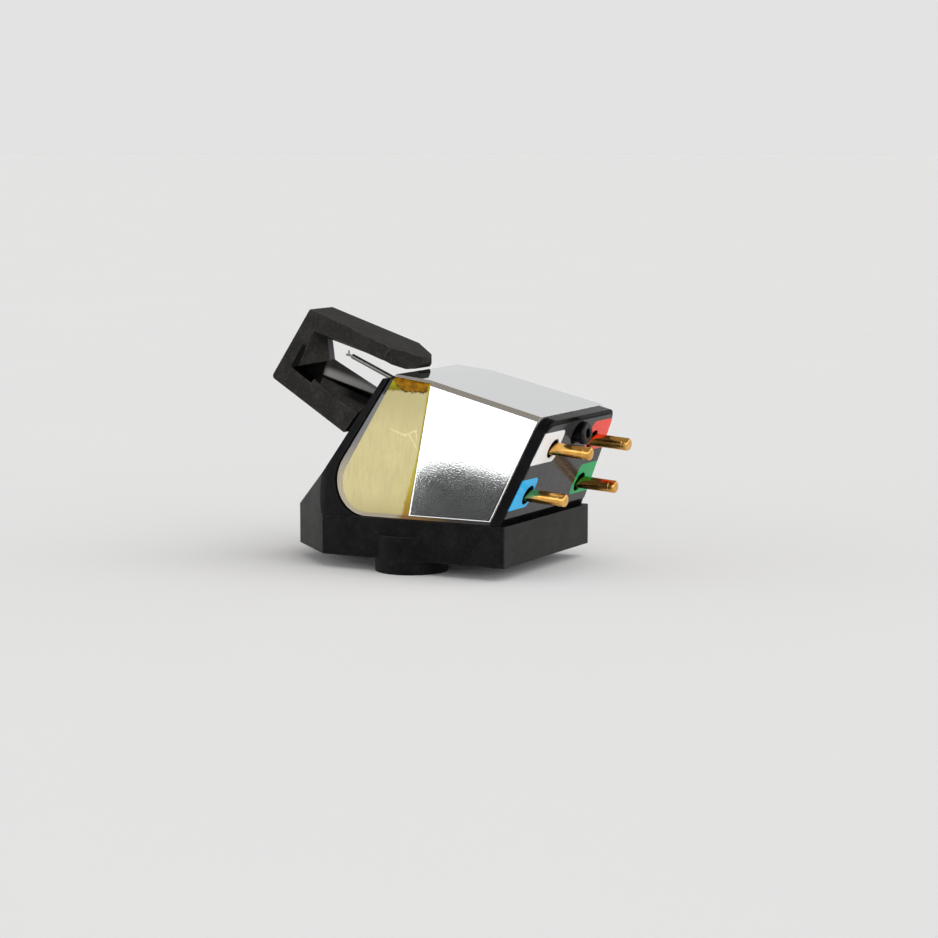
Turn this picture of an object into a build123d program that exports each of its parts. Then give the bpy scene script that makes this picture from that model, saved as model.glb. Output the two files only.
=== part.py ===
# Moving-coil phono cartridge with its stylus guard on, lying on its mounting bosses, stylus up.
# Millimetres. X runs to the rear, where the terminal pins are, Y runs across and Z is up.
# The origin is midway between the two mounting holes, on the mounting face.
import os
from math import cos, radians, sin, tan

from build123d import *

# Base plate of the mounting block, with its two threaded bosses
hole_spacing = 12.7
thread_radius = 1.25
thread_depth = 4.0
boss_radius = 3.4
boss_top = 3.55
plate_bottom = 1.25
plate_top = 5.05
plate_half_width = 8.85
plate_rear = 10.95
plate_rear_corner = 0.25
shoulder_x = -8.17
nose_x = -13.7
nose_half_width = 3.95

# Front wall of the block: a shallow nose slope, then a steep slope up to the stylus
foot_x = -8.8
foot_z = 8.67
front_angle = 32.55
cheek_low_z = 6.73
wall_backing = 0.3
cantilever_window_radius = 1.25

# Clear cover over the generator; its roof folds at fold_x and falls to the rear on both sides of it
side_lean = 9.5
cover_inset = 0.49
cover_half_width = plate_half_width - cover_inset
cover_top = 17.55
cover_front_x = -5.0
cover_front_z = 13.05
cover_front_angle = 30.5
cover_corner_radius = 3.4
cover_side_wall = 0.7
cover_top_wall = 0.6
cover_bevel = 0.3
cover_gap = 0.12
fold_x = 1.85
front_top_slope = 6.3
rear_top_slope = 13.5

# Polished shield, folded from sheet over the cover
shield_sheet = 0.2
flap_rise = 0.35
flap_front_low = 0.85
flap_front_lean = 5.8
shield_front_margin = 0.25
sheet_gap = 0.06

# Amber film on each side of the cover, ahead of the shield
film_thickness = 0.1
film_front_low = -8.54
film_front_angle = 27.5
film_corner_radius = 2.85

# Rear cap with the terminals
cap_front_low = 9.24
cap_front_angle = 23.7
cap_rear_low = 10.34
cap_rear_angle = 24.2
cap_corner_radius = 1.5
cap_top_drop = 0.05
cap_overhang = 0.1
cap_half_width = cover_half_width + cap_overhang
spigot_depth = 1.0
spigot_wall = 0.8
fit_gap = 0.05

# Printed terminal label on the rear cap
label_thickness = 0.1
label_side_margin = 0.1
label_top_margin = 0.5
label_low_margin = 0.75
label_corner_radius = 1.2

# Terminal pins, which drop a little to the rear
pin_drop = 4.0
pin_radius = 0.6
pin_length = 4.0
pin_shank_radius = 0.4
pin_solder_end = 1.2
pin_tip_chamfer = 0.22
pin_tip_length = 0.3
pin_well_radius = 0.92
pin_well_depth = 0.45
press_gap = 0.01
upper_pin_z = 11.88
upper_pin_inset = 4.34
upper_pin_y = cap_half_width - upper_pin_inset
lower_pin_z = 7.64
lower_pin_inset = 3.11
lower_pin_y = cap_half_width - lower_pin_inset

# Screw that holds the rear cap to the cover
screw_z = 12.95
screw_neck_radius = 0.92
screw_head_radius = 1.05
screw_head_length = 0.65
screw_head_chamfer = 0.15
screw_proud = 1.2
screw_length = 4.2
screw_socket_radius = 0.5
screw_socket_depth = 0.45
screw_boss_radius = 1.5
screw_boss_length = 4.6

# Generator: its axis is the cantilever's, and its own origin is the stylus pivot
pivot_x = -1.73
pivot_z = 15.45
axis_angle = 23.5
yoke_half_width = 3.0
yoke_thickness = 1.2
front_yoke_face = -0.5
front_yoke_top = 1.2
yoke_notch_radius = 1.15
rear_yoke_top = 1.7
magnet_length = 2.9
magnet_half_width = 2.7
magnet_top = -1.5
generator_floor = -5.0
pole_radius = 0.8
pole_overhang = 0.8
pole_bore = 0.3
sleeve_length = 2.2
tie_wire_radius = 0.08
tie_wire_overhang = 0.5
clamp_screw_radius = 0.4

# Moving system on the pivot
arm_length = 0.86
arm_width = 0.34
armature_thickness = 0.5
coil_width = 0.62
coil_length = 0.4
coil_clearance = 0.01
damper_radius = 0.85
damper_bore = 0.2
damper_thickness = 0.48
moving_gap = 0.1
collar_radius = 0.42
collar_length = 1.1
cantilever_length = 9.8
cantilever_radius = 0.24
cantilever_bore = 0.13
flat_length = 0.7
flat_half_width = 0.17
flat_thickness = 0.15
flat_bend = 13.0
flat_overlap = 0.1
stylus_set_back = 0.3
stylus_half_width = 0.075
stylus_height = 0.36
stylus_cone = 0.16
stylus_point_half_width = 0.01

# Coil leads
lead_radius = 0.1
lead_spread = 3.9
lead_rise = 0.55
lead_approach = 2.0

# Stylus guard, measured on its near side as X and Z; it tapers towards the front
guard_front_foot = (-18.4, 16.84)
guard_front_top = (-13.64, 23.66)
guard_bar_end = (-4.2, 20.32)
guard_bar_under = (-5.08, 19.06)
guard_cheek_top = (-8.13, 13.89)
guard_cheek_foot = (-9.75, 11.94)
window_top = (-13.32, 21.69)
window_front = (-15.94, 17.9)
window_floor = (-13.64, 16.48)
throat_top = (-12.58, 20.75)
throat_front = (-12.3, 18.64)
throat_floor = (-11.9, 18.41)
throat_rear = (-7.47, 16.08)
throat_under_bar = 0.35
window_overrun = 6.0
web_half_thickness = 0.45
guard_width_x = -10.5
guard_half_width = 2.2
guard_taper = 0.1
guard_rounding = 0.35
recess_web_half_thickness = 0.25
slot_front_top = (-11.72, 16.97)
slot_front_low = (-10.9, 16.47)
slot_rear_top = (-7.36, 15.57)
slot_rear_low = (-7.36, 15.1)
slot_half_width = 1.5
pocket_rear_low = (-12.6, 17.5)
pocket_rear_top = (-12.65, 18.5)
floor_half_width = 1.5
floor_length = 2.6
floor_rise = 3.0
floor_lap = 1.0
guard_gap = 0.1
tongue_tip = (-1.8, 19.4)
tongue_chin = (-1.95, 18.65)
tongue_heel = (-2.35, 18.28)
tongue_belly = (-3.1, 18.25)
tongue_inset = 0.12
tongue_tip_half_width = 1.0
tongue_tip_rounding = 0.9
tongue_edge_rounding = 0.2


def slope(degrees_from_vertical):
    return tan(radians(degrees_from_vertical))


def front_x(z):
    return foot_x + (z - foot_z) * slope(front_angle)


def cover_front(z):
    return cover_front_x + (z - cover_front_z) * slope(cover_front_angle)


def cap_front(z):
    return cap_front_low + (z - plate_top) * slope(cap_front_angle)


def cap_rear(z):
    return cap_rear_low + (z - plate_top) * slope(cap_rear_angle)


def roof_z(x, level):
    """Height of the roof line at x, where level is its height at the fold."""
    roof_slope = front_top_slope if x < fold_x else rear_top_slope
    return level + (fold_x - x) * slope(roof_slope)


def roof_meets(face_x, level, roof_slope):
    """Height at which a leaning face, given as X over Z, meets one slope of the roof."""
    start = face_x(0)
    lean = face_x(1) - start
    rise = slope(roof_slope)
    return (level + rise * (fold_x - start)) / (1 + rise * lean)


def polygon(*points):
    """Flat face through the given corners."""
    return make_face(Polyline(*points, close=True))


def outline(*points):
    """Side profile: a face in the XZ plane through the given corners."""
    return Plane.XZ * polygon(*points)


def across(profile, half_width):
    """Solid made by extruding a side profile evenly to both sides."""
    return extrude(profile, amount=half_width, both=True)


def recess(profile, half_width):
    """Two solids made from a side profile, one on each side of the web that is left between them."""
    return across(profile, half_width) - across(profile, recess_web_half_thickness)


def between_sides(shape, half_width):
    """The part of a shape between the two leaning sides, half_width apart from the middle at the plate."""
    lean = radians(side_lean)
    for side in (1, -1):
        side_plane = Plane(origin=(0, side * half_width, plate_top), z_dir=(0, side * cos(lean), sin(lean)))
        shape = split(shape, bisect_by=side_plane, keep=Keep.BOTTOM)
    return shape


def rod_along_x(x_start, x_end, y, z, radius):
    length = x_end - x_start
    return Pos((x_start + x_end) / 2, y, z) * Rot(0, 90, 0) * Cylinder(radius, length)


# Frame of the generator: local X to the rear along the axis, local Z up
axis_turn = radians(axis_angle)
generator = Plane(
    origin=(pivot_x, 0, pivot_z),
    x_dir=(cos(axis_turn), 0, -sin(axis_turn)),
    z_dir=(sin(axis_turn), 0, cos(axis_turn)),
)


def slab(start, end, half_width, low, high):
    """Block in the generator's frame, from start to end along the axis."""
    middle = Pos((start + end) / 2, 0, (low + high) / 2)
    return generator * middle * Box(end - start, 2 * half_width, high - low)


def rod(start, end, radius):
    """Cylinder on the generator's axis."""
    return generator * Pos((start + end) / 2, 0, 0) * Rot(0, 90, 0) * Cylinder(radius, end - start)


front_yoke_back = front_yoke_face + yoke_thickness
rear_yoke_face = front_yoke_back + magnet_length
rear_yoke_back = rear_yoke_face + yoke_thickness
pole_back = rear_yoke_back + pole_overhang
coil_back = (armature_thickness + coil_width - arm_width) / 2
damper_start = coil_back + moving_gap
damper_end = damper_start + damper_thickness
pole_front = damper_end + moving_gap


def long_roof_edges(solid):
    """Edges along the roof, where it meets the two leaning sides."""
    nearly_along = cos(radians(2 * rear_top_slope))
    long_edges = [edge for edge in solid.edges() if abs((edge % 0.5).X) > nearly_along]
    high_edges = [edge for edge in long_edges if edge.center().Z > screw_z]
    return [edge for edge in high_edges if abs(edge.center().Y) > yoke_half_width]


cap_level = cover_top + shield_sheet - cap_top_drop
cover_front_top = roof_meets(cover_front, cover_top, front_top_slope)
cover_rear_top = roof_meets(cap_front, cover_top, rear_top_slope)


def cover_envelope(growth):
    """Outer form of the clear cover, grown on every side by the same amount."""
    profile = polygon(
        (cover_front(plate_top), plate_top),
        (cap_front(plate_top), plate_top),
        (cap_front(cover_rear_top), cover_rear_top),
        (fold_x, cover_top),
        (cover_front(cover_front_top), cover_front_top),
    )
    profile = fillet(profile.vertices().sort_by(Axis.X)[0], cover_corner_radius)
    if growth:
        profile = offset(profile, amount=growth, kind=Kind.INTERSECTION)
    half_width = cover_half_width + growth / cos(radians(side_lean))
    solid = between_sides(across(Plane.XZ * profile, 2 * plate_half_width), half_width)
    return chamfer(long_roof_edges(solid), cover_bevel + growth / 2)


def make_cover():
    """Two side walls and a roof, open below, at the front wall and at the rear cap."""
    inner_top = cover_top - cover_top_wall
    tail = cap_rear(cover_top)
    cavity = outline(
        (nose_x, 0),
        (tail, 0),
        (tail, roof_z(tail, inner_top)),
        (fold_x, inner_top),
        (nose_x, roof_z(nose_x, inner_top)),
    )
    cavity = between_sides(across(cavity, 2 * plate_half_width), cover_half_width - cover_side_wall)
    form = cover_envelope(0)
    # The screw boss hangs from the roof on a rib, and both stop at the cap's leaning face
    boss_start = cap_front(screw_z) - screw_boss_length
    boss_end = cap_rear(cover_top)
    boss = rod_along_x(boss_start, boss_end, 0, screw_z, screw_boss_radius)
    rib_height = cover_top - screw_z
    rib = Box(boss_end - boss_start, screw_boss_radius, rib_height)
    boss += Pos((boss_start + boss_end) / 2, 0, screw_z + rib_height / 2) * rib
    screw_hole = rod_along_x(0, boss_end, 0, screw_z, screw_neck_radius + press_gap)
    return (form - cavity) + (boss & form) - screw_hole


def flap_front(z):
    return flap_front_low + (z - plate_top) * slope(flap_front_lean)


def make_shield(cover_form):
    """Folded sheet: a roof in two slopes and a flap down each side behind the films."""
    low = plate_top + flap_rise
    roof_front = cover_front(cover_front_top) + shield_front_margin
    flap_top = flap_front(cover_top)
    region = outline(
        (flap_front(low), low),
        (cap_front(low) - sheet_gap, low),
        (cap_front(2 * cover_top) - sheet_gap, 2 * cover_top),
        (roof_front, 2 * cover_top),
        (roof_front, roof_z(roof_front, cover_top)),
        (flap_top, roof_z(flap_top, cover_top)),
    )
    return (cover_envelope(shield_sheet) - cover_form) & across(region, 2 * plate_half_width)


def film_front(z):
    return film_front_low + (z - plate_top) * slope(film_front_angle)


def make_films(cover_form):
    """One film on each side, inside the clear rim and ahead of the shield's flap."""
    low = plate_top + flap_rise
    front_top = film_front(cover_front_top)
    flap_top = flap_front(cover_top) - sheet_gap
    region = polygon(
        (film_front(low), low),
        (flap_front(low) - sheet_gap, low),
        (flap_top, roof_z(flap_top, cover_top) - sheet_gap),
        (front_top, roof_z(front_top, cover_top) - sheet_gap),
    )
    region = fillet(region.vertices().sort_by(Axis.X)[0], film_corner_radius)
    shell = cover_envelope(film_thickness) - cover_form
    shell = shell & across(Plane.XZ * region, 2 * plate_half_width)
    return shell.solids().sort_by(Axis.Y)


def cover_room():
    """Everything behind the front edge of the cover's sides, with the gap round it."""
    room = polygon(
        (cover_front(plate_top), plate_top),
        (cap_front(plate_top), plate_top),
        (cap_front(2 * cover_top), 2 * cover_top),
        (cover_front(2 * cover_top), 2 * cover_top),
    )
    room = fillet(room.vertices().sort_by(Axis.X)[0], cover_corner_radius)
    room = offset(room, amount=cover_gap, kind=Kind.INTERSECTION)
    return across(Plane.XZ * room, 2 * plate_half_width)


def cheek_plane(side):
    """Facet between the nose chamfer, the front wall and one leaning side of the block."""
    low = Vector(nose_x, side * nose_half_width, plate_top)
    inward = (cheek_low_z - plate_top) * slope(side_lean)
    forward = inward * (shoulder_x - nose_x) / (plate_half_width - nose_half_width)
    rear = Vector(shoulder_x - forward, side * (plate_half_width - inward), cheek_low_z)
    foot_half_width = cover_half_width + shield_sheet - (foot_z - plate_top) * slope(side_lean)
    high = Vector(foot_x, side * foot_half_width, foot_z)
    return Plane(origin=low, z_dir=(high - low).cross(rear - low) * side)


def make_block():
    """Moulded body: plate, bosses, front wall and the seat of the generator."""
    plan = polygon(
        (nose_x, nose_half_width),
        (shoulder_x, plate_half_width),
        (plate_rear, plate_half_width),
        (plate_rear, -plate_half_width),
        (shoulder_x, -plate_half_width),
        (nose_x, -nose_half_width),
    )
    plan = fillet(plan.vertices().sort_by(Axis.X)[-2:], plate_rear_corner)
    plate = extrude(Pos(0, 0, plate_bottom) * plan, amount=plate_top - plate_bottom)

    # Front wall: side profile less the cover's room, backed inside the cover, then trimmed
    wall_top = cover_top + shield_sheet
    wall = across(
        outline(
            (nose_x, plate_top),
            (foot_x, foot_z),
            (front_x(wall_top), wall_top),
            (cover_front(wall_top), wall_top),
            (fold_x, plate_top),
        ),
        plate_half_width,
    )
    wall = between_sides(wall - cover_room(), cover_half_width + shield_sheet)
    backing_top = cover_top - cover_top_wall - fit_gap
    backing = across(
        outline(
            (cover_front(plate_top) - cover_gap, plate_top),
            (cover_front(backing_top) - cover_gap, backing_top),
            (cover_front(backing_top) + wall_backing, backing_top),
            (cover_front(plate_top) + wall_backing, plate_top),
        ),
        plate_half_width,
    )
    wall += between_sides(backing, cover_half_width - cover_side_wall - fit_gap)
    wall = wall & extrude(plan, amount=2 * cover_top)
    for side in (1, -1):
        wall = split(wall, bisect_by=cheek_plane(side), keep=Keep.BOTTOM)

    # Generator seat: a wedge under the magnet and yokes
    seat_top = generator.from_local_coords((front_yoke_face, 0, generator_floor))
    seat_low = generator.from_local_coords((rear_yoke_back, 0, generator_floor))
    seat = across(
        outline(
            (seat_top.X, plate_top),
            (seat_top.X, seat_top.Z),
            (seat_low.X, seat_low.Z),
            (seat_low.X, plate_top),
        ),
        yoke_half_width,
    )

    block = plate + wall + seat - rod(-cantilever_length, 0, cantilever_window_radius)
    for side in (1, -1):
        block += Pos(0, side * hole_spacing / 2, boss_top / 2) * Cylinder(boss_radius, boss_top)
    for side in (1, -1):
        block -= Pos(0, side * hole_spacing / 2, thread_depth / 2) * Cylinder(thread_radius, thread_depth)
    return block


def pin_places():
    return {
        "white": (-upper_pin_y, upper_pin_z),
        "red": (upper_pin_y, upper_pin_z),
        "blue": (-lower_pin_y, lower_pin_z),
        "green": (lower_pin_y, lower_pin_z),
    }


def pin_frame(y, z):
    """Frame of one pin: its origin is on the cap's rear face, and local X runs out along the pin."""
    turn = radians(pin_drop)
    return Plane(
        origin=(cap_rear(z), y, z),
        x_dir=(cos(turn), 0, -sin(turn)),
        z_dir=(sin(turn), 0, cos(turn)),
    )


def pin_hole(y, z, start, radius):
    """Rod on a pin's axis from start, measured out from the cap's rear face, to well clear of the cap."""
    end = cap_rear(cover_top)
    return pin_frame(y, z) * Pos((start + end) / 2, 0, 0) * Rot(0, 90, 0) * Cylinder(radius, end - start)


def spigot_form(margin, low, start, end):
    """Leaning block inside the cover's walls, from start ahead of the cap's front face to end behind it."""
    inner_top = cover_top - cover_top_wall - fit_gap
    high = roof_z(cap_front(cover_top), inner_top) - margin
    form = outline(
        (cap_front(low) - start, low),
        (cap_front(low) + end, low),
        (cap_front(high) + end, high),
        (cap_front(high) - start, high),
    )
    half_width = cover_half_width - cover_side_wall - fit_gap - margin
    return between_sides(across(form, plate_half_width), half_width)


def make_cap():
    """Rear cap: a leaning plate with wells round the pins and a hollow spigot inside the cover."""
    top_front = roof_meets(cap_front, cap_level, rear_top_slope)
    top_rear = roof_meets(cap_rear, cap_level, rear_top_slope)
    plate = across(
        outline(
            (cap_front(plate_top), plate_top),
            (cap_rear(plate_top), plate_top),
            (cap_rear(top_rear), top_rear),
            (cap_front(top_front), top_front),
        ),
        plate_half_width,
    )
    plate = between_sides(plate, cap_half_width)
    plate = fillet(long_roof_edges(plate), cap_corner_radius)
    depth = spigot_depth / cos(radians(cap_front_angle))
    spigot = spigot_form(0, plate_top + fit_gap, depth, 0)
    spigot -= spigot_form(spigot_wall, plate_top + spigot_wall, 2 * depth, depth)
    boss_room = rod_along_x(0, cap_rear(cover_top), 0, screw_z, screw_boss_radius + fit_gap)
    boss_room += Pos(cap_front(screw_z), 0, cover_top) * Box(
        2 * screw_boss_length, screw_boss_radius + 2 * fit_gap, 2 * (cover_top - screw_z)
    )
    cap = plate + (spigot - boss_room)
    for y, z in pin_places().values():
        cap -= pin_hole(y, z, -cap_rear(z), pin_shank_radius + press_gap)
        cap -= pin_hole(y, z, -pin_well_depth, pin_well_radius)
    return cap - rod_along_x(0, cap_rear(2 * cover_top), 0, screw_z, screw_neck_radius + fit_gap)


def make_label():
    """Printed film on the cap's rear face, with a hole round each pin and the screw."""
    cap_turn = radians(cap_rear_angle)
    rear = Plane(
        origin=(cap_rear(plate_top), 0, plate_top),
        x_dir=(0, 1, 0),
        z_dir=(cos(cap_turn), 0, -sin(cap_turn)),
    )
    rise = roof_meets(cap_rear, cap_level, rear_top_slope) - plate_top
    height = rise / cos(cap_turn)
    low_width = cap_half_width - label_side_margin
    high_width = low_width - rise * slope(side_lean)
    face = polygon(
        (-low_width, 0),
        (low_width, 0),
        (high_width, height),
        (-high_width, height),
    )
    face = face & Pos(0, (label_low_margin + height - label_top_margin) / 2) * Rectangle(
        2 * low_width, height - label_top_margin - label_low_margin
    )
    top_corners = face.vertices().sort_by(Axis.Y)[-2:]
    face = fillet(top_corners, label_corner_radius)
    label = extrude(rear * face, amount=label_thickness)
    for y, z in pin_places().values():
        label -= pin_hole(y, z, -cap_rear(z), pin_well_radius)
    return label - rod_along_x(0, 2 * cap_rear(cover_top), 0, screw_z, screw_head_radius + fit_gap)


def pin_inner_end(z):
    """Where a pin ends inside the cover, at the joint with its lead, along the pin's axis."""
    return cap_front(z) - cap_rear(z) - spigot_depth - pin_solder_end


def make_pin(y, z):
    """Turned pin: its shoulder rests in a well of the cap, and a thin shank runs in to the solder joint."""
    inner_end = pin_inner_end(z)
    profile = polygon(
        (inner_end, 0),
        (pin_length, 0),
        (pin_length, pin_radius - pin_tip_chamfer),
        (pin_length - pin_tip_length, pin_radius),
        (-pin_well_depth, pin_radius),
        (-pin_well_depth, pin_shank_radius),
        (inner_end, pin_shank_radius),
    )
    return pin_frame(y, z) * revolve(profile, Axis.X)


def make_screw():
    """Cap screw: socket head standing proud of the label, neck through the cap into the cover's boss."""
    face = cap_rear(screw_z)
    head_end = face + screw_proud
    head_start = head_end - screw_head_length
    screw = rod_along_x(head_start, head_end, 0, screw_z, screw_head_radius)
    rim = screw.edges().filter_by(GeomType.CIRCLE).sort_by(Axis.X)[-1]
    screw = chamfer(rim, screw_head_chamfer)
    screw += rod_along_x(head_start - screw_length, head_start, 0, screw_z, screw_neck_radius)
    socket_face = Plane(origin=(head_end, 0, screw_z), z_dir=(-1, 0, 0))
    return screw - extrude(socket_face * RegularPolygon(screw_socket_radius, 6), amount=screw_socket_depth)


def make_generator():
    """Magnet between two yokes, with the pole pipe, the tie wire and its sleeve and clamp screw."""
    front = slab(front_yoke_face, front_yoke_back, yoke_half_width, generator_floor, front_yoke_top)
    front -= rod(2 * front_yoke_face, 2 * front_yoke_back, yoke_notch_radius)
    front -= slab(2 * front_yoke_face, 2 * front_yoke_back, yoke_notch_radius, 0, 2 * front_yoke_top)
    rear = slab(rear_yoke_face, rear_yoke_back, yoke_half_width, generator_floor, rear_yoke_top)
    rear -= rod(0, pole_back, pole_radius + press_gap)
    clamp_place = generator * Pos((rear_yoke_face + rear_yoke_back) / 2, 0, (pole_radius + rear_yoke_top) / 2)
    clamp_length = rear_yoke_top - pole_radius
    rear -= clamp_place * Cylinder(clamp_screw_radius + press_gap, 2 * clamp_length)
    magnet = slab(front_yoke_back, rear_yoke_face, magnet_half_width, generator_floor, magnet_top)
    magnet = chamfer(magnet.edges().filter_by(GeomType.LINE).sort_by(Axis.Z)[-2:], fit_gap)
    pole = rod(pole_front, pole_back, pole_radius) - rod(0, 2 * pole_back, pole_bore)
    wire_back = pole_back + tie_wire_overhang
    sleeve = rod(pole_back - sleeve_length, pole_back, pole_bore - press_gap)
    sleeve -= rod(0, wire_back, tie_wire_radius + press_gap)
    return {
        "front_yoke": front,
        "rear_yoke": rear,
        "magnet": magnet,
        "pole_pipe": pole,
        "wire_sleeve": sleeve,
        "tie_wire": rod(armature_thickness / 2 + moving_gap / 2, wire_back, tie_wire_radius),
        "clamp_screw": clamp_place * Pos(0, 0, 2 * press_gap) * Cylinder(clamp_screw_radius, clamp_length),
    }


def make_moving_system():
    """Iron cross with its two crossed windings, collar, hollow cantilever and diamond."""
    half = armature_thickness / 2
    cross = rod(-half, half, arm_width)
    windings = {"left_coil": Part(), "right_coil": Part()}
    for name, turn in (("left_coil", 45), ("right_coil", -45)):
        arm_place = generator * Rot(turn, 0, 0)
        cross += arm_place * Box(armature_thickness, arm_width, 2 * arm_length)
        inside = Box(
            armature_thickness + 2 * coil_clearance,
            arm_width + 2 * coil_clearance,
            4 * arm_length,
        )
        start = arm_width + moving_gap
        for end in (1, -1):
            winding = Pos(0, 0, end * (start + coil_length / 2)) * Box(
                armature_thickness + coil_width - arm_width, coil_width, coil_length
            )
            winding = chamfer(winding.edges().filter_by(Axis.Z), (coil_width - arm_width) / 3)
            windings[name] += arm_place * (winding - inside)
    tip = -cantilever_length
    collar = rod(-half - collar_length, -half, collar_radius)
    collar -= rod(tip, 0, cantilever_radius + press_gap)
    tube_end = tip + flat_length
    tube = rod(tube_end, -half, cantilever_radius) - rod(tube_end + flat_length, 0, cantilever_bore)
    # The end is pressed flat and bent level, so the diamond stands upright on it
    bend = generator * Pos(tube_end, 0, 0) * Rot(0, -flat_bend, 0)
    flat = Box(flat_length + flat_overlap, 2 * flat_half_width, flat_thickness)
    flat = chamfer(flat.edges().filter_by(Axis.Z).sort_by(Axis.X)[:2], flat_half_width / 2)
    cantilever = tube + bend * Pos((flat_overlap - flat_length) / 2, 0, 0) * flat
    seat = (bend * Pos(stylus_set_back - flat_length, 0, 0)).position
    shank = Pos(seat.X, 0, seat.Z)
    side = 2 * stylus_half_width
    point = 2 * stylus_point_half_width
    taper = [
        Pos(0, 0, stylus_height) * Rectangle(side, side),
        Pos(0, 0, stylus_height + stylus_cone) * Rectangle(point, point),
    ]
    diamond = shank * (Pos(0, 0, stylus_height / 2) * Box(side, side, stylus_height) + loft(taper))
    hole = side + 2 * press_gap
    cantilever -= shank * Box(hole, hole, 4 * stylus_height)
    return {
        "armature": cross,
        **windings,
        "cantilever_collar": collar,
        "cantilever": cantilever,
        "stylus_tip": diamond,
    }


def make_damper():
    return rod(damper_start, damper_end, damper_radius) - rod(0, pole_back, damper_bore)


def make_lead(y, z):
    """Fine six-sided wire from beside the armature, out past the rear yoke and back to one pin."""
    side = 1 if y > 0 else -1
    rise = lead_rise if z > (upper_pin_z + lower_pin_z) / 2 else -lead_rise
    start = generator.from_local_coords((front_yoke_back + moving_gap, side * yoke_notch_radius, rise))
    bend = generator.from_local_coords((rear_yoke_face - magnet_length / 3, side * lead_spread, rise))
    clear = generator.from_local_coords((rear_yoke_back + pole_overhang, side * lead_spread, rise))
    pin = pin_frame(y, z)
    end = pin.from_local_coords((pin_inner_end(z), 0, 0))
    approach = pin.from_local_coords((pin_inner_end(z) - lead_approach, 0, 0))
    path = Polyline(start, bend, clear, approach, end)
    section = Plane(origin=path @ 0, z_dir=path % 0) * RegularPolygon(lead_radius, 6)
    return sweep(section, path=path, transition=Transition.RIGHT)


def run_on(start, end, extra):
    """Point on the line from start through end, extra further along X than end."""
    share = extra / (end[0] - start[0])
    return end[0] + extra, end[1] + share * (end[1] - start[1])


def guard_side(x):
    """Half-width of the guard at x."""
    return guard_half_width + guard_taper * (x - guard_width_x)


def make_guard_window():
    """Window that narrows from each side to the throat in the web, open to the rear."""
    side_window = polygon(
        window_top,
        window_front,
        window_floor,
        run_on(window_floor, guard_cheek_top, window_overrun),
        run_on(window_top, guard_bar_under, window_overrun),
    )
    bar_x, bar_z = run_on(window_top, guard_bar_under, window_overrun)
    throat = polygon(
        throat_top,
        throat_front,
        throat_floor,
        run_on(throat_floor, throat_rear, window_overrun),
        (bar_x, bar_z - throat_under_bar),
    )
    outer = Plane.XZ.offset(guard_half_width)
    funnel = loft([Plane.XZ.offset(web_half_thickness) * throat, outer * side_window])
    funnel += extrude(outer * side_window, amount=guard_half_width)
    return funnel + mirror(funnel, about=Plane.XZ) + across(Plane.XZ * throat, web_half_thickness)


def make_tongue():
    """End of the guard's bar, which rests over the roof's front edge and narrows to its tip."""
    profile = polygon(
        guard_bar_end,
        tongue_tip,
        tongue_chin,
        tongue_heel,
        tongue_belly,
        guard_bar_under,
    )
    profile = fillet(profile.vertices().sort_by(Axis.X)[-2:], tongue_edge_rounding)
    root_side = guard_side(guard_bar_under[0]) - tongue_inset
    bar_side = guard_side(guard_bar_end[0]) - tongue_inset
    plan = polygon(
        (guard_bar_under[0], -root_side),
        (guard_bar_end[0], -bar_side),
        (tongue_tip[0], -tongue_tip_half_width),
        (tongue_tip[0], tongue_tip_half_width),
        (guard_bar_end[0], bar_side),
        (guard_bar_under[0], root_side),
    )
    plan = fillet(plan.vertices().sort_by(Axis.X)[-2:], tongue_tip_rounding)
    return across(Plane.XZ * profile, 2 * guard_half_width) & extrude(plan, amount=2 * cover_top)


def make_guard():
    """Slip-on guard: a C-shaped frame round a thin web, with a tongue over the roof's front edge."""
    frame = across(
        outline(
            guard_front_foot,
            guard_front_top,
            guard_bar_end,
            guard_bar_under,
            guard_cheek_top,
            guard_cheek_foot,
        ),
        2 * guard_half_width,
    )
    frame = fillet(frame.edges().filter_by(Axis.Y).sort_by(Axis.X)[:2], guard_rounding)
    frame -= make_guard_window()

    # Slot along the foot of the web, and a moulding pocket in the lower front corner, on each side
    slot = outline(slot_front_top, slot_rear_top, slot_rear_low, slot_front_low)
    pocket = outline(window_front, window_floor, pocket_rear_low, pocket_rear_top)
    frame -= recess(slot, slot_half_width)
    frame -= recess(pocket, 2 * guard_half_width)

    # The floor of the frame runs on to just short of the front wall
    wall_gap = guard_gap / cos(radians(front_angle))
    floor_end = run_on(guard_front_foot, guard_cheek_foot, floor_length)
    floor = outline(
        guard_cheek_foot,
        floor_end,
        (floor_end[0] + floor_rise * slope(front_angle), floor_end[1] + floor_rise),
        (throat_rear[0] - floor_lap, throat_rear[1] - floor_lap),
        (guard_cheek_foot[0] - floor_lap, guard_cheek_foot[1] + 2 * floor_lap),
    )
    before_wall = outline(
        (front_x(0) - wall_gap, 0),
        (front_x(2 * cover_top) - wall_gap, 2 * cover_top),
        (2 * guard_front_foot[0], 2 * cover_top),
        (2 * guard_front_foot[0], 0),
    )
    frame += across(floor, floor_half_width) & across(before_wall, 2 * floor_half_width)

    # Side faces taper towards the front
    for side in (1, -1):
        side_plane = Plane(
            origin=(guard_width_x, side * guard_half_width, 0),
            z_dir=(-guard_taper, side, 0),
        )
        frame = split(frame, bisect_by=side_plane, keep=Keep.BOTTOM)
    return frame + make_tongue()


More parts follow.
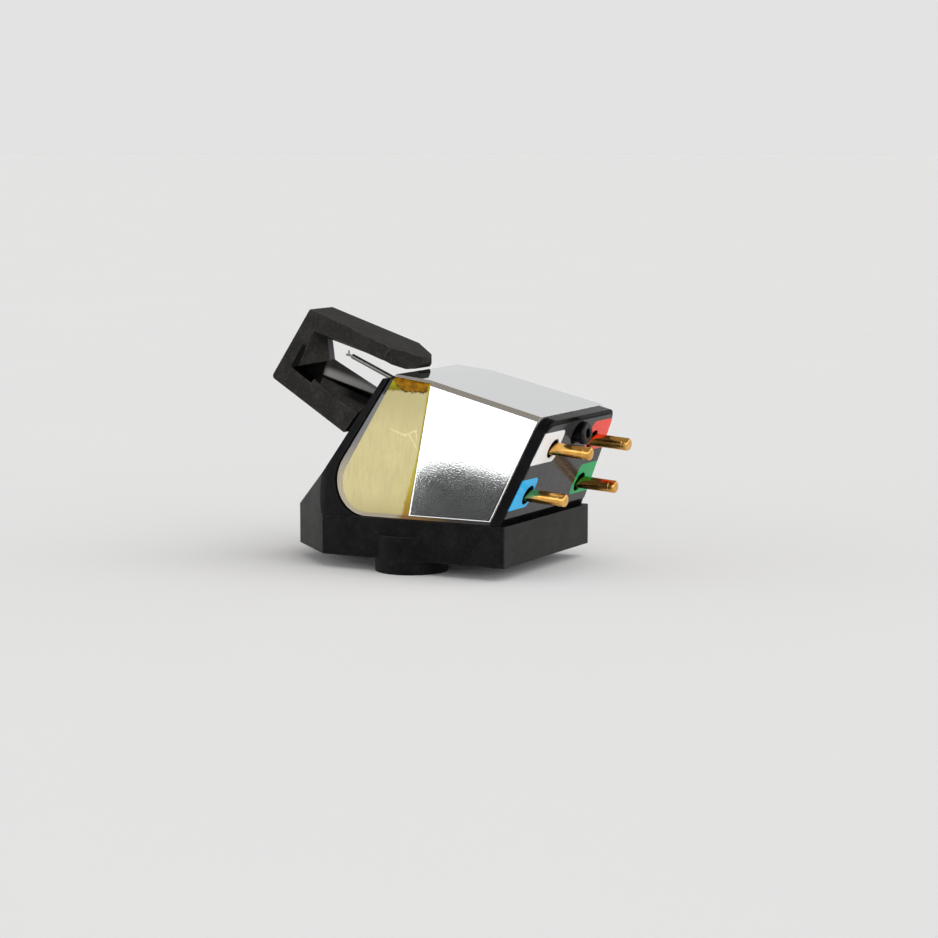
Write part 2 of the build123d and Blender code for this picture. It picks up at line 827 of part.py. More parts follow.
cover_form = cover_envelope(0)
films = make_films(cover_form)
nodes = {
    "mounting_block": make_block(),
    "clear_cover": make_cover(),
    "polished_shield": make_shield(cover_form),
    "amber_film_near": films[0],
    "amber_film_far": films[-1],
    "rear_cap": make_cap(),
    "terminal_label": make_label(),
    "cap_screw": make_screw(),
    **make_generator(),
    **make_moving_system(),
    "damper_ring": make_damper(),
    "stylus_guard": make_guard(),
}
for colour, (pin_y, pin_z) in pin_places().items():
    nodes[f"{colour}_pin"] = make_pin(pin_y, pin_z)
    nodes[f"{colour}_lead"] = make_lead(pin_y, pin_z)

os.makedirs("parts", exist_ok=True)
for name, shape in nodes.items():
    export_step(shape, f"parts/{name}.step")
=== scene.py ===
from math import cos, radians, sin

import bpy
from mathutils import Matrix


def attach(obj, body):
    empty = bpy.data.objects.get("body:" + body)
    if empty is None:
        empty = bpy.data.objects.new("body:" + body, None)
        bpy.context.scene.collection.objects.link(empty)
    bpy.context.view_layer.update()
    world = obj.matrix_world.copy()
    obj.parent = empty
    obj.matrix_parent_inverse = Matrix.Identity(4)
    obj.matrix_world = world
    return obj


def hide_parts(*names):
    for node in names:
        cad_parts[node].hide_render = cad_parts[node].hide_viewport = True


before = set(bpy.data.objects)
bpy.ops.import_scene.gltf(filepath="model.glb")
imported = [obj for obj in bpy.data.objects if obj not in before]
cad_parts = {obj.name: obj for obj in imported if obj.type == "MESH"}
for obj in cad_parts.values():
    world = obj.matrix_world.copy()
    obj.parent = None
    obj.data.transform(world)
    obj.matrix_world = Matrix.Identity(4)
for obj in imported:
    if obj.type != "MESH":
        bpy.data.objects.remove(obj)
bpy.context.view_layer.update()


# Mounting block: one black moulding with the plate, the two screw bosses, the front wall and the
# generator's seat. Its mould was fine-sparked, so it is matte with a slight grain. Its edges are
# painted a little grey, for both rubbing and painted highlights, and its nose and rear face paler.
class Field:
    """A value that varies over a surface: one output socket in a material's nodes."""

    def __init__(self, tree, socket):
        self.tree = tree
        self.socket = socket

    def node(self, kind, settings, inputs, output=0):
        """Adds a node: its settings first, then its sockets, each set to a value or linked to a field."""
        node = self.tree.nodes.new(kind)
        for name, value in settings.items():
            setattr(node, name, value)
        for key, value in inputs.items():
            if isinstance(value, Field):
                self.tree.links.new(value.socket, node.inputs[key])
            else:
                node.inputs[key].default_value = value
        return Field(self.tree, node.outputs[output])

    def math(self, operation, first, second=0):
        return self.node("ShaderNodeMath", {"operation": operation}, {0: first, 1: second})

    def __add__(self, other):
        return self.math("ADD", self, other)

    def __sub__(self, other):
        return self.math("SUBTRACT", self, other)

    def __rsub__(self, other):
        return self.math("SUBTRACT", other, self)

    def __mul__(self, other):
        return self.math("MULTIPLY", self, other)

    def __truediv__(self, other):
        return self.math("DIVIDE", self, other)

    def __rtruediv__(self, other):
        return self.math("DIVIDE", other, self)

    def __pow__(self, other):
        return self.math("POWER", self, other)

    def __abs__(self):
        return self.math("ABSOLUTE", self)

    __radd__ = __add__
    __rmul__ = __mul__

    def least(self, other):
        return self.math("MINIMUM", self, other)

    def most(self, other):
        return self.math("MAXIMUM", self, other)

    def ramp(self, low, high):
        """0 at low and 1 at high, smooth between; low may be above high."""
        inputs = {"Value": self, "From Min": min(low, high), "From Max": max(low, high)}
        if low > high:
            inputs.update({"To Min": 1, "To Max": 0})
        return self.node("ShaderNodeMapRange", {"interpolation_type": "SMOOTHSTEP"}, inputs)

    def between(self, first, second):
        """Mixes two colours by this field."""
        return self.node("ShaderNodeMix", {"data_type": "RGBA"}, {0: self, 6: first, 7: second}, 2)

    def noise(self, size, detail=2, stretch=(1, 1, 1)):
        """Noise over a place in millimetres, with features about as large as size."""
        place = self.node("ShaderNodeMapping", {}, {"Vector": self, "Scale": stretch})
        return self.node("ShaderNodeTexNoise", {}, {"Vector": place, "Scale": 1 / size, "Detail": detail})

    def along(self, direction):
        """How far a place lies along a direction."""
        settings = {"operation": "DOT_PRODUCT"}
        return self.node("ShaderNodeVectorMath", settings, {0: self, 1: direction}, "Value")

    @property
    def x(self):
        return self.along((1, 0, 0))

    @property
    def y(self):
        return self.along((0, 1, 0))

    @property
    def z(self):
        return self.along((0, 0, 1))

    def bump(self, depth):
        """Normal of a surface with this relief, whose full depth is given in millimetres."""
        return self.node("ShaderNodeBump", {}, {"Height": self, "Strength": 1, "Distance": depth / 1000})


def finish(slot, **constants):
    """New material with its constant sockets set; returns it and the place on the piece in millimetres."""
    material = bpy.data.materials.new(slot)
    material.use_nodes = True
    tree = material.node_tree
    for name, value in constants.items():
        tree.nodes["Principled BSDF"].inputs[name.replace("_", " ")].default_value = value
    place = Field(tree, tree.nodes.new("ShaderNodeTexCoord").outputs["Object"])
    return material, place.node("ShaderNodeVectorMath", {"operation": "SCALE"}, {0: place, "Scale": 1000})


def paint(material, **fields):
    """Links fields to the sockets of a material's shader."""
    shader = material.node_tree.nodes["Principled BSDF"]
    for name, field in fields.items():
        material.node_tree.links.new(field.socket, shader.inputs[name.replace("_", " ")])


def edge_mask(place, radius):
    """1 on edges that are sharper than the radius in millimetres, 0 on flat ground."""
    soft = place.node("ShaderNodeBevel", {"samples": 6}, {"Radius": radius / 1000})
    hard = place.node("ShaderNodeNewGeometry", {}, {}, "Normal")
    return soft.along(hard).ramp(0.99, 0.85)


def moulded_plastic(slot, deep, rubbed_and_lit, grain, roughness, gloss, tone=lambda place, ground: ground):
    """Plastic with fine grain, faint mottling and paler edges, which stand for rubbing and painted highlights
    together; tone changes its ground by place.
    """
    material, place = finish(slot, Specular_IOR_Level=gloss)
    cloud = place.noise(1.9, 5)
    speck = place.noise(0.3, 3)
    # Painted highlight: the edges are painted paler, standing for both rubbing and the light they catch.
    rub_and_highlight = edge_mask(place, 0.2) * place.noise(0.5, 3).ramp(0.35, 0.6)
    shade = cloud.ramp(0.4, 0.7) * 0.2 + speck.ramp(0.45, 0.75) * 0.22 + rub_and_highlight * 0.8
    relief = place.noise(0.07, 2) * 0.6 + place.noise(0.25, 2) * 0.4
    paint(
        material,
        Base_Color=tone(place, shade.least(1).between(deep, rubbed_and_lit)),
        Roughness=cloud * 0.2 + (roughness - 0.1),
        Normal=relief.bump(grain),
    )
    return material


def rounded_copy(node, body, material, edge, steps):
    """Copy of a CAD node with whole faces and its sharp edges rounded, which stands for the node."""
    bpy.ops.object.select_all(action="DESELECT")
    piece = bpy.data.objects.new(f"{node}_rounded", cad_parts[node].data.copy())
    bpy.context.collection.objects.link(piece)
    bpy.context.view_layer.objects.active = piece
    piece.select_set(True)
    bpy.ops.mesh.customdata_custom_splitnormals_clear()
    bpy.ops.object.mode_set(mode="EDIT")
    bpy.ops.mesh.select_all(action="SELECT")
    bpy.ops.mesh.remove_doubles(threshold=1e-7)
    bpy.ops.mesh.dissolve_limited(angle_limit=radians(0.5))
    bpy.ops.object.mode_set(mode="OBJECT")
    bpy.ops.object.shade_smooth_by_angle(angle=radians(25))
    rounding = piece.modifiers.new("rounding", "BEVEL")
    rounding.width = edge / 1000
    rounding.segments = steps
    rounding.limit_method = "ANGLE"
    rounding.angle_limit = radians(20)
    rounding.harden_normals = True
    bpy.ops.object.modifier_apply(modifier="rounding")
    piece.data.materials.clear()
    piece.data.materials.append(material)
    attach(piece, body)
    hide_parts(node)
    return piece


def dust_and_lit_ends(place, ground):
    """Paler nose slopes and rear face, painted light from the sides mixed with fine dust, and a paler band on
    the ledges of the bosses.
    """
    dust = place.noise(0.3, 3) * 0.5 + place.noise(1.5, 4) * 0.5
    x, y, z = place.x, place.y, place.z
    # Painted light with dust: the nose slopes and the rear face are painted paler, as light from the sides
    # falls on them.
    nose = x.ramp(-8, -9)
    rear_face = x.ramp(10.85, 10.93)
    ledges = abs(y).ramp(8.86, 8.9) * z.ramp(3.4, 3.5) * 0.4
    dust_and_light = nose.most(rear_face).most(ledges)
    return (dust_and_light * dust).between(ground, (0.036, 0.035, 0.033, 1))


black_plastic = moulded_plastic(
    "black_plastic", (0.0008, 0.0008, 0.001, 1), (0.022, 0.0215, 0.021, 1), 0.006, 0.5, 0.1, dust_and_lit_ends
)
rounded_copy("mounting_block", "cartridge", black_plastic, 0.12, 3)


# Generator: a ground magnet clamped between two soft iron yokes, with the pole pipe through the
# rear one. A brass sleeve in the pipe grips the steel tie wire, and a small screw locks the pipe.
def dress(material, *names):
    """Gives CAD nodes their finish."""
    for name in names:
        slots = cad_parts[name].data.materials
        for index in range(len(slots)):
            slots[index] = material


def worked_metal(slot, dark, bright, roughness, grain, stretch=(1, 1, 1)):
    """Bare metal with fine tool marks and a little tarnish."""
    material, place = finish(slot, Metallic=1)
    marks = place.noise(0.12, 3, stretch)
    tarnish = place.noise(0.9, 3).ramp(0.35, 0.7)
    paint(
        material,
        Base_Color=(marks * 0.5 + tarnish * 0.5).between(dark, bright),
        Roughness=marks * 0.2 + tarnish * 0.1 + (roughness - 0.15),
        Normal=marks.bump(grain),
    )
    return material


soft_iron = worked_metal("soft_iron", (0.2, 0.19, 0.18, 1), (0.4, 0.39, 0.37, 1), 0.4, 0.004, (1, 6, 1))
dress(soft_iron, "front_yoke", "rear_yoke", "pole_pipe")
dress(worked_metal("magnet", (0.07, 0.07, 0.075, 1), (0.14, 0.14, 0.15, 1), 0.5, 0.006), "magnet")
dress(worked_metal("brass", (0.5, 0.33, 0.12, 1), (0.72, 0.53, 0.22, 1), 0.3, 0.002), "wire_sleeve")
steel = worked_metal("steel_wire", (0.4, 0.4, 0.41, 1), (0.62, 0.62, 0.63, 1), 0.25, 0.001)
dress(steel, "tie_wire", "clamp_screw")


# Moving system: a small iron cross with two crossed windings of hair-fine copper, which the tie
# wire pulls against a rubber ring.
rubber, place = finish("damper_rubber", Specular_IOR_Level=0.3)
bloom = place.noise(0.2, 3)
paint(
    rubber,
    Base_Color=bloom.between((0.012, 0.012, 0.012, 1), (0.035, 0.033, 0.03, 1)),
    Roughness=bloom * 0.2 + 0.6,
    Normal=bloom.bump(0.003),
)
dress(rubber, "damper_ring")
dress(soft_iron, "armature")

axis_turn = radians(23.5)
winding_wave = 120
for name, turn in (("left_coil", radians(45)), ("right_coil", radians(-45))):
    copper, place = finish("copper_winding", Metallic=1)
    arm = (cos(turn) * sin(axis_turn), -sin(turn), cos(turn) * cos(axis_turn))
    turns = place.math("SINE", place.along(arm) * winding_wave) * 0.5 + 0.5
    wander = place.noise(0.15, 2)
    paint(
        copper,
        Base_Color=(turns * 0.6 + wander * 0.4).between((0.25, 0.07, 0.02, 1), (0.75, 0.32, 0.13, 1)),
        Roughness=wander * 0.2 + 0.25,
        Normal=turns.bump(0.015),
    )
    dress(copper, name)


# Cantilever: a drawn aluminium tube set in a collar on the cross, its far end pressed flat and
# bent level, with a square-shank diamond through it.
aluminium = worked_metal(
    "aluminium", (0.15, 0.147, 0.142, 1), (0.34, 0.333, 0.325, 1), 0.4, 0.0008, (1, 8, 1)
)
dress(aluminium, "cantilever_collar")
rounded_copy("cantilever", "moving_system", aluminium, 0.02, 2)
diamond, place = finish("diamond", IOR=2.4, Transmission_Weight=0.2)
facet = place.noise(0.05, 2)
paint(
    diamond,
    Base_Color=facet.between((0.2, 0.2, 0.21, 1), (0.45, 0.45, 0.47, 1)),
    Roughness=facet * 0.1 + 0.05,
)
dress(diamond, "stylus_tip")


# Leads: four fine copper wires from the coils to the tails of the pins, soldered at both ends. Each
# is enamelled in its channel's colour.
lead_colours = {
    "white": (0.75, 0.74, 0.7, 1),
    "red": (0.6, 0.03, 0.025, 1),
    "blue": (0.02, 0.16, 0.5, 1),
    "green": (0.02, 0.3, 0.09, 1),
}
for colour, tint in lead_colours.items():
    enamel, place = finish(f"{colour}_lead", Coat_Weight=0.4, Coat_Roughness=0.15)
    ripple = place.noise(0.15, 2)
    paint(
        enamel,
        Base_Color=ripple.ramp(0.3, 0.7).between([0.75 * part for part in tint[:3]] + [1], tint),
        Roughness=ripple * 0.15 + 0.3,
        Normal=ripple.bump(0.004),
    )
    dress(enamel, f"{colour}_lead")


# Clear cover: one moulding in clear acrylic over the generator, seen as a rim round each film. The
# films' glue shows through it low down, and it is painted dark as shade where the wall and the
# shield shade it.
acrylic, place = finish("clear_plastic", IOR=1.49, Transmission_Weight=0.2, Specular_IOR_Level=0.3)
x, z = place.x, place.z
haze = place.noise(0.8, 3)
tone = (z + haze).ramp(13.5, 8).between((0.22, 0.22, 0.225, 1), (0.56, 0.49, 0.36, 1))
# Painted shade: near black along the top, where the wall and the shield shade the rim.
tone = (z + haze * 0.6).ramp(16.4, 16.9).between(tone, (0.008, 0.008, 0.008, 1))
foot = (z + haze * 0.2).ramp(5.6, 5.4) * (x + haze).ramp(-0.6, 0.8)
glue = (x + haze * 2).ramp(2, 7).between((0.3, 0.14, 0.012, 1), (0.012, 0.008, 0.005, 1))
tone = foot.between(tone, glue)
paint(
    acrylic,
    Base_Color=tone,
    Roughness=haze * 0.2 + 0.1,
    Normal=haze.bump(0.004),
)
dress(acrylic, "clear_cover")


# Shield: one sheet of mirror-polished steel, folded over the cover. The polishing has left a fine
# pebble and grain on its sides, and the cut edges are ground bright. A dark band just inside the
# rear edge is a painted reflection.
mirror_steel, place = finish("polished_steel", Metallic=1)
x, z = place.x, place.z
pebble = place.noise(0.1, 1) * 0.5 + place.noise(0.14, 0).ramp(0.45, 0.8) * 0.5
grain = place.noise(0.085, 1).ramp(0.3, 0.7)
smear = place.noise(1.8, 3)
upright = abs(place.node("ShaderNodeNewGeometry", {}, {}, "Normal").z).ramp(0.8, 0.6)
cover_foot = 5.05
rear_at_foot, rear_lean, square_to_rear = 9.18, 0.439, 0.916
front_at_foot, front_lean = 0.85, 0.1016
from_rear = ((z - cover_foot) * rear_lean + rear_at_foot - x) * square_to_rear
from_front = x - front_at_foot - (z - cover_foot) * front_lean
from_low = z - 5.33
ground_edge = (from_rear + 0.07).least(from_front).least(from_low).ramp(0.15, 0.1) * upright
# Painted reflection: a dark band just inside the rear edge stands for the rounded edge reflecting something
# dark.
dark_reflection_band = from_rear.ramp(0.27, 0.23) * from_rear.ramp(0.13, 0.17) * upright
polish = ((grain - 0.5) * upright + 0.5).between((0.53, 0.55, 0.56, 1), (0.97, 0.98, 0.98, 1))
polish = (dark_reflection_band * 0.6).between(polish, (0.2, 0.19, 0.18, 1))
paint(
    mirror_steel,
    Base_Color=ground_edge.between(polish, (0.97, 0.97, 0.97, 1)),
    Roughness=smear * 0.03 + 0.02 + ground_edge * 0.45,
    Normal=pebble.bump(0.00028),
)
rounded_copy("polished_shield", "cartridge", mirror_steel, 0.06, 2)


# Films: a piece of amber foil stuck on each side of the cover ahead of the shield. The glue has
# browned along the top and beside the shield, and the foil has a small crease. A thin line of
# painted shade runs along the shield's edge.
amber, place = finish("amber_film", Specular_IOR_Level=0.05, Coat_Roughness=0.05)
x, z = place.x, place.z
smudge = place.noise(2.6, 3)
speck = place.noise(0.16, 2)
wave = place.noise(0.55, 3)
fine_wave = place.noise(0.2, 2)

glue_line = 16.68
top_edge = z + (wave - 0.5) * 0.5 + (fine_wave - 0.5) * 0.12
top_band = top_edge.ramp(16.56, 16.76)
glue_side = x + z - 15.8 + (wave - 0.5) * 0.8
brown = top_band * glue_side.ramp(-0.15, 0.15)
dark_line = abs(top_edge - glue_line).ramp(0.16, 0.04) * glue_side.ramp(-0.3, 0.1) * fine_wave.ramp(0.35, 0.6)
dark_line = dark_line.most(abs(glue_side).ramp(0.18, 0.05) * top_band * fine_wave.ramp(0.4, 0.6))

shield_edge = 0.79
beside_shield = (z - cover_foot) * front_lean + shield_edge - x
edge_width = z.ramp(11.5, 5) * 0.55 + 0.16
edge_glue = (beside_shield / edge_width + (wave - 0.5) * 0.8).ramp(1.25, 0.75)
# Painted shade: a thin dark line on the foil right at the shield's edge.
shield_edge_shade = beside_shield.ramp(0.07, 0.03) * wave.ramp(0.4, 0.5)

crease_one = abs((x + 2.29) * 0.32 + z - 13.31).ramp(0.14, 0.0) * x.ramp(-2.4, -0.9) * x.ramp(0.1, -0.2)
crease_two = abs((x - 0.4) * 1.3 + z - 12.5).ramp(0.14, 0.02) * x.ramp(0.0, 0.3) * x.ramp(1.4, 1.2)
crease_three = abs((x + 0.2) * -0.4 + z - 12.7).ramp(0.1, 0.02) * x.ramp(-0.3, 0.0) * x.ramp(1.1, 0.9)
crease_four = abs((z - 13.1) * 0.25 + x - 0.9).ramp(0.1, 0.02) * z.ramp(12.2, 12.5) * z.ramp(13.3, 13.1)
creases = ((crease_one + crease_two + crease_three + crease_four) * fine_wave.ramp(0.25, 0.55)).least(1)

middle = (z.ramp(16.5, 12.5) * z.ramp(5, 7.5) * 0.6 + smudge * 0.5).least(1)
streak = place.noise(0.5, 3, (1.6, 1, 0.3))
ground = middle.between((0.45, 0.39, 0.17, 1), (0.66, 0.575, 0.28, 1))
ground = (streak.ramp(0.4, 0.7) * 0.3).between(ground, (0.46, 0.405, 0.215, 1))
ground = (speck.ramp(0.62, 0.75) * 0.25).between(ground, (0.3, 0.28, 0.15, 1))
olive = z.ramp(16.6, 17.6).between((0.17, 0.15, 0.004, 1), (0.36, 0.34, 0.01, 1))
ground = top_band.between(ground, olive)
browned = wave.ramp(0.3, 0.7).between((0.17, 0.07, 0.002, 1), (0.36, 0.17, 0.004, 1))
ground = brown.between(ground, browned)
ground = (dark_line * 0.85).between(ground, (0.02, 0.012, 0.001, 1))
yellowed = z.ramp(5.2, 9).between((0.33, 0.16, 0.006, 1), (0.48, 0.4, 0.03, 1))
ground = (edge_glue * 0.9).between(ground, yellowed)
ground = (shield_edge_shade * 0.8).between(ground, (0.06, 0.045, 0.004, 1))
ground = (creases * 0.75).between(ground, (0.9, 0.83, 0.42, 1))
paint(
    amber,
    Base_Color=ground,
    Roughness=smudge * 0.2 + 0.15,
    Coat_Weight=(1 - top_band) * (1 - edge_glue) * 0.35,
    Normal=(smudge * 0.6 + creases * 0.4).bump(0.012),
)
dress(amber, "amber_film_near", "amber_film_far")


# Rear cap: a second black moulding that closes the cover behind and holds the four terminals.
# It is held by one screw, and its edges are glossy from a polished mould.
cap_plastic = moulded_plastic(
    "black_plastic", (0.002, 0.002, 0.0022, 1), (0.016, 0.016, 0.016, 1), 0.0015, 0.25, 0.04
)
rounded_copy("rear_cap", "cartridge", cap_plastic, 0.1, 3)


# Terminal label: a glossy film stuck on the cap's rear face, printed dark grey with a colour patch at
# each pin, and cut out round the pins and the screw.
label, place = finish("label_film", Specular_IOR_Level=0.14)
y, z = place.y, place.z
speck = place.noise(0.12, 3)
cloud = place.noise(1.5, 3)


def patch(left, right, low, high, corner):
    """1 inside a rounded box on the label, measured across and up."""
    across = abs(y - (left + right) / 2) - ((right - left) / 2 - corner)
    upward = abs(z - (low + high) / 2) - ((high - low) / 2 - corner)
    outside = (across.most(0) ** 2 + upward.most(0) ** 2) ** 0.5
    return (outside + across.most(upward).least(0)).ramp(corner + 0.04, corner - 0.04)


mottle = (cloud * 0.5 + speck * 0.5).ramp(0.3, 0.7)
ground = mottle.between((0.03, 0.03, 0.031, 1), (0.05, 0.05, 0.051, 1))
ground = patch(-9.5, -2.9, 10.6, 13.55, 0.5).between(ground, (0.88, 0.88, 0.88, 1))
ground = patch(2.9, 9.5, 10.8, 13.7, 0.6).between(ground, (0.85, 0.06, 0.04, 1))
ground = patch(-9.5, -4.5, 6.45, 9.25, 0.6).between(ground, (0.025, 0.48, 0.92, 1))
ground = patch(4.0, 9.5, 6.5, 9.45, 0.6).between(ground, (0.004, 0.37, 0.1, 1))
paint(
    label,
    Base_Color=(speck * 0.08).between(ground, (0.02, 0.02, 0.02, 1)),
    Roughness=cloud * 0.1 + 0.1,
    Normal=cloud.bump(0.003),
)
dress(label, "terminal_label")


# Terminal pins: four turned brass pins, gold plated, each with a shoulder in its well, a fine
# groove near the end and a rounded tip. One is turned, and the others are copies of it.
gold, place = finish("gold_plate", Metallic=1)
wear = place.noise(0.9, 2)
turning = place.noise(0.05, 1, (1, 0.1, 0.1))
paint(
    gold,
    Base_Color=wear.ramp(0.3, 0.7).between((0.68, 0.33, 0.07, 1), (0.9, 0.53, 0.15, 1)),
    Roughness=wear * 0.1 + 0.12,
    Normal=turning.bump(0.00015),
)
pin_places = {
    "white": (0.013409, -0.00412, 0.01188),
    "red": (0.013409, 0.00412, 0.01188),
    "blue": (0.011499, -0.00535, 0.00764),
    "green": (0.011499, 0.00535, 0.00764),
}
pin_drop = radians(4)
pin_radius = 0.0006
shank_radius = 0.0004
tail = -0.00333
shoulder = -0.00045
tip = 0.004
tip_round = 0.00022
tip_steps = 6
groove = tip - 0.0006
groove_depth = 0.00003
turned_profile = [
    (tail, shank_radius),
    (shoulder, shank_radius),
    (shoulder, pin_radius),
    (groove - 2 * groove_depth, pin_radius),
    (groove - groove_depth, pin_radius - groove_depth),
    (groove + groove_depth, pin_radius - groove_depth),
    (groove + 2 * groove_depth, pin_radius),
]
for step in range(tip_steps + 1):
    bend = radians(90 * step / tip_steps)
    turned_profile.append((tip - tip_round * (1 - sin(bend)), pin_radius - tip_round * (1 - cos(bend))))
bpy.ops.object.select_all(action="DESELECT")
bpy.ops.mesh.primitive_circle_add(
    vertices=48,
    radius=shank_radius,
    fill_type="NGON",
    location=(tail, 0, 0),
    rotation=(0, radians(90), 0),
)
pin = bpy.context.object
pin.name = "white_pin_turned"
bpy.ops.object.transform_apply(location=True, rotation=True, scale=True)
bpy.ops.object.mode_set(mode="EDIT")
bpy.ops.mesh.select_all(action="SELECT")
for (start, near), (end, far) in zip(turned_profile, turned_profile[1:]):
    bpy.ops.mesh.extrude_region_move(TRANSFORM_OT_translate={"value": (end - start, 0, 0)})
    bpy.ops.transform.resize(value=(1, far / near, far / near))
bpy.ops.mesh.select_all(action="SELECT")
bpy.ops.mesh.normals_make_consistent(inside=False)
bpy.ops.object.mode_set(mode="OBJECT")
bpy.ops.object.shade_smooth_by_angle(angle=radians(35))
pin.data.materials.append(gold)
pins = {"white": pin}
for colour in ("red", "blue", "green"):
    pins[colour] = bpy.data.objects.new(f"{colour}_pin_turned", pin.data.copy())
    bpy.context.collection.objects.link(pins[colour])
for colour, piece in pins.items():
    bpy.ops.object.select_all(action="DESELECT")
    bpy.context.view_layer.objects.active = piece
    piece.select_set(True)
    piece.location = pin_places[colour]
    piece.rotation_euler = (0, pin_drop, 0)
    bpy.ops.object.transform_apply(location=True, rotation=True, scale=True)
    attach(piece, "cartridge")
    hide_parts(f"{colour}_pin")


# Cap screw: a turned steel socket-head screw, blackened, which goes through the cap into the cover's
# boss.
oxide = worked_metal("black_screw", (0.012, 0.012, 0.013, 1), (0.05, 0.05, 0.052, 1), 0.35, 0.002)
rounded_copy("cap_screw", "cartridge", oxide, 0.05, 3)


# Stylus guard: a slip-on moulding in dark grey plastic that frames the stylus, its tongue over the
# front of the roof. Handling has left it mottled, its edges are painted a paler brown for both wear
# and painted highlights, and its recesses carry painted shade.
def guard_painted_shade(place, ground):
    """Painted shade in the pocket, the slot and beside them, a painted highlight on the web's front edge, and
    a painted sheen above the slot.
    """
    x, y, z = place.x, place.y, place.z
    inside = (x * 0.1 + 3.25 - abs(y)).ramp(0.03, 0.12)
    from_front, above_corner = x + 15.94, z - 17.9
    under_roof = (from_front * 0.1824 + 18.0 - z).ramp(0, 0.1)
    over_floor = (from_front * 0.617 + z - 17.8).ramp(0, 0.1)
    # Painted shade: the pocket is painted black inside.
    pocket = under_roof * over_floor * x.ramp(-12.45, -12.65)
    up = from_front * 0.5687 + above_corner * 0.8226
    back = from_front * 0.8226 - above_corner * 0.5687
    # Painted shade: a black strip inside the near face, where the undercut shades it.
    jamb_shade = (up * 0.15 + back).ramp(0.8, 0.6) * back.ramp(-0.2, -0.1)
    jamb_shade = jamb_shade * up.ramp(3.1, 2.5) * up.ramp(-0.2, 0.2)
    above_slot = (x + 11.72) * 0.3057 + (z - 16.97) * 0.9521
    # Painted sheen: a paler band above the slot stands for the light that it reflects.
    painted_sheen = above_slot.ramp(1.0, 0.4) * above_slot.ramp(0.0, 0.15)
    painted_sheen = painted_sheen * x.ramp(-13, -12) * z.ramp(18.4, 17.8)
    ground = (inside * painted_sheen * 0.85).between(ground, (0.27, 0.265, 0.26, 1))
    # Painted highlight: a pale line on the web's front edge, where light catches it.
    throat_highlight = abs((z - 19.67) * 0.12 + x + 12.44).ramp(0.07, 0.04) * abs(y).ramp(0.5, 0.42)
    throat_highlight = throat_highlight * z.ramp(18.5, 18.8) * z.ramp(20.9, 20.6)
    ground = throat_highlight.between(ground, (0.14, 0.14, 0.15, 1))
    below_slot = (x + 10.9) * 0.3609 + (z - 16.47) * 0.9326
    # Painted shade: the slot and the face below it towards the rear are painted dark.
    cheek_shade = x.ramp(-10.3, -9.2) * below_slot.ramp(-0.8, -0.5) * 0.85
    slot = below_slot.ramp(-0.08, -0.03).most(cheek_shade) * above_slot.ramp(0.06, 0)
    hollow_shade = pocket.most(slot)
    return ((inside * hollow_shade).most(jamb_shade) * 0.96).between(ground, (0, 0, 0, 1))


guard_plastic = moulded_plastic(
    "guard_plastic", (0.019, 0.0185, 0.0175, 1), (0.085, 0.075, 0.065, 1), 0.01, 0.55, 0.06, guard_painted_shade
)
guard = rounded_copy("stylus_guard", "guard", guard_plastic, 0.14, 3)

# Stylus relief: a blind hollow in the underside of the web's top, moulded there so that the diamond
# can lift without touching the guard.
relief_place = (-0.01022, 0, 0.02005)
relief_size = (0.00085, 0.0006, 0.00076)
bpy.ops.object.select_all(action="DESELECT")
bpy.ops.mesh.primitive_cube_add(size=1, location=relief_place, scale=relief_size)
relief_core = bpy.context.object
bpy.ops.object.transform_apply(location=True, rotation=True, scale=True)
relief = guard.modifiers.new("relief", "BOOLEAN")
relief.operation = "DIFFERENCE"
relief.solver = "EXACT"
relief.object = relief_core
bpy.context.view_layer.objects.active = guard
bpy.ops.object.modifier_apply(modifier="relief")
bpy.data.objects.remove(relief_core)


# Stand: a plain pale floor under one broad lamp high on the right, with pale screens all round and
# a dark gap under the front one, and the camera.
bpy.context.scene.view_settings.view_transform = "Standard"
bpy.ops.object.select_all(action="DESELECT")
floor_radius = 6
bpy.ops.mesh.primitive_circle_add(vertices=96, radius=floor_radius, fill_type="NGON", location=(0, 0, 0))
floor = bpy.context.object
floor.name = "floor"
paper, place = finish("floor_paper", Roughness=0.9, Specular_IOR_Level=0.1)
paint(paper, Base_Color=place.noise(40, 3).between((0.83, 0.83, 0.83, 1), (0.85, 0.85, 0.85, 1)))
floor.data.materials.append(paper)

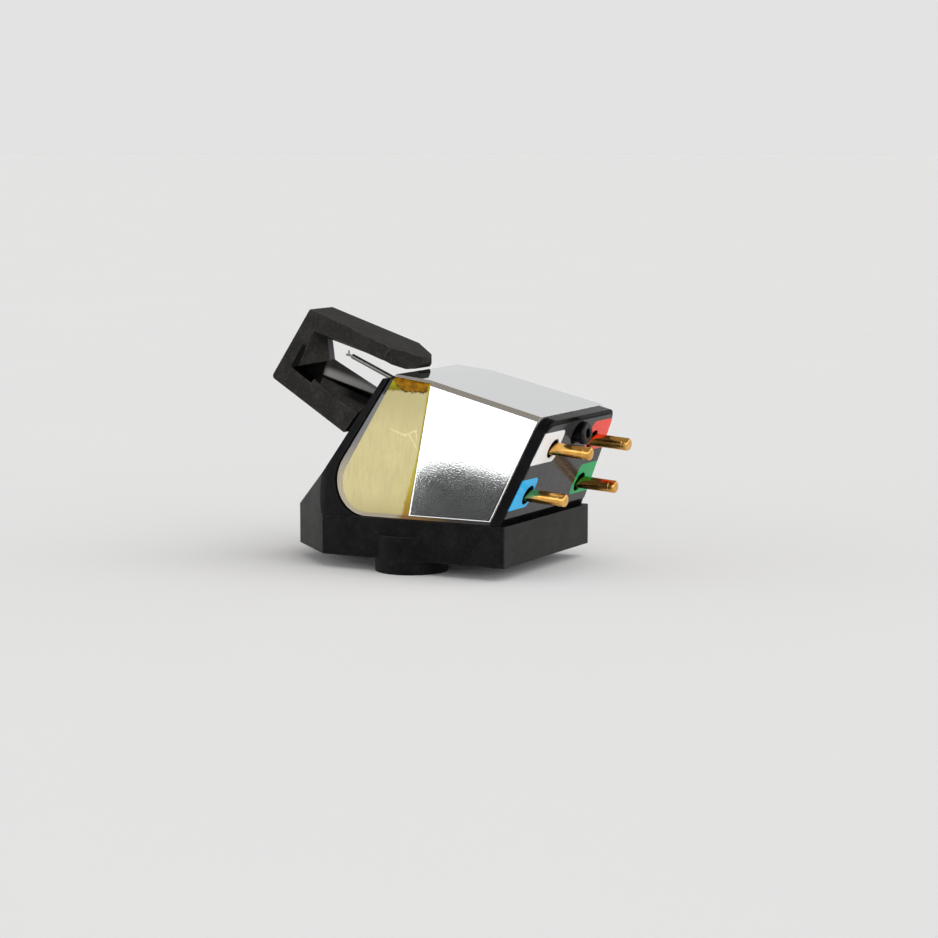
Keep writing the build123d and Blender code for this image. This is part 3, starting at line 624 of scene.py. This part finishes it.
lamp = bpy.data.lights.new("high_lamp", "SUN")
lamp.energy = 1.38
lamp.angle = radians(75)
lamp.color = (0.965, 0.98, 1)
high_lamp = bpy.data.objects.new("high_lamp", lamp)
bpy.context.collection.objects.link(high_lamp)
high_lamp.rotation_euler = (0, radians(33), radians(5))
high_lamp.visible_glossy = False

world = bpy.data.worlds.new("studio")
world.use_nodes = True
bpy.context.scene.world = world
tree = world.node_tree
sky = Field(tree, tree.nodes.new("ShaderNodeTexCoord").outputs["Generated"])
x, y, z = sky.x, sky.y, sky.z
level = (x * x + y * y) ** 0.5
rise = z / level.most(0.001)
side = x / (y * -1).most(0.001)
low = z.ramp(0.55, 0.3)
front_screen = (y * -1).ramp(0.1, 0.3) * low
right_screen = (x * 0.95 + y * 0.31).ramp(0.4, 0.8) * low
left_screen = (x * -0.9 - y * 0.3).ramp(0.3, 0.8) * low
arch_middle, arch_foot = 0.5505, 0.145
left_width, right_width, arch_height = 0.0265, 0.076, 0.0236
flag_left = (side + arch_middle).least(0) / left_width
flag_right = (side + arch_middle).most(0) / right_width
flag_rise = (rise - arch_foot).most(0) / arch_height
flag = ((flag_left * flag_left + flag_right * flag_right + flag_rise * flag_rise) ** 0.5).ramp(1.04, 0.96)
screens = low * 0.42 + front_screen * 0.9 + right_screen + left_screen * 0.6
light = (screens + 0.34) * (1 - flag * 0.96)
seen = sky.node("ShaderNodeLightPath", {}, {}, "Is Camera Ray")
backdrop = 0.768
shade = light * (1 - seen) + seen * backdrop
tint = z.ramp(0.7, 0.95).between((1, 1, 1, 1), (1, 0.9, 0.78, 1))
tree.links.new(tint.socket, tree.nodes["Background"].inputs["Color"])
tree.links.new(shade.socket, tree.nodes["Background"].inputs["Strength"])

lens = bpy.data.cameras.new("camera")
lens.lens = 100.02
lens.sensor_width = 36
lens.clip_start = 0.01
camera = bpy.data.objects.new("camera", lens)
bpy.context.collection.objects.link(camera)
camera.location = (0.118061, -0.215, 0.039891)
camera.rotation_euler = (radians(82.76), 0, radians(28.229))
bpy.context.scene.camera = camera
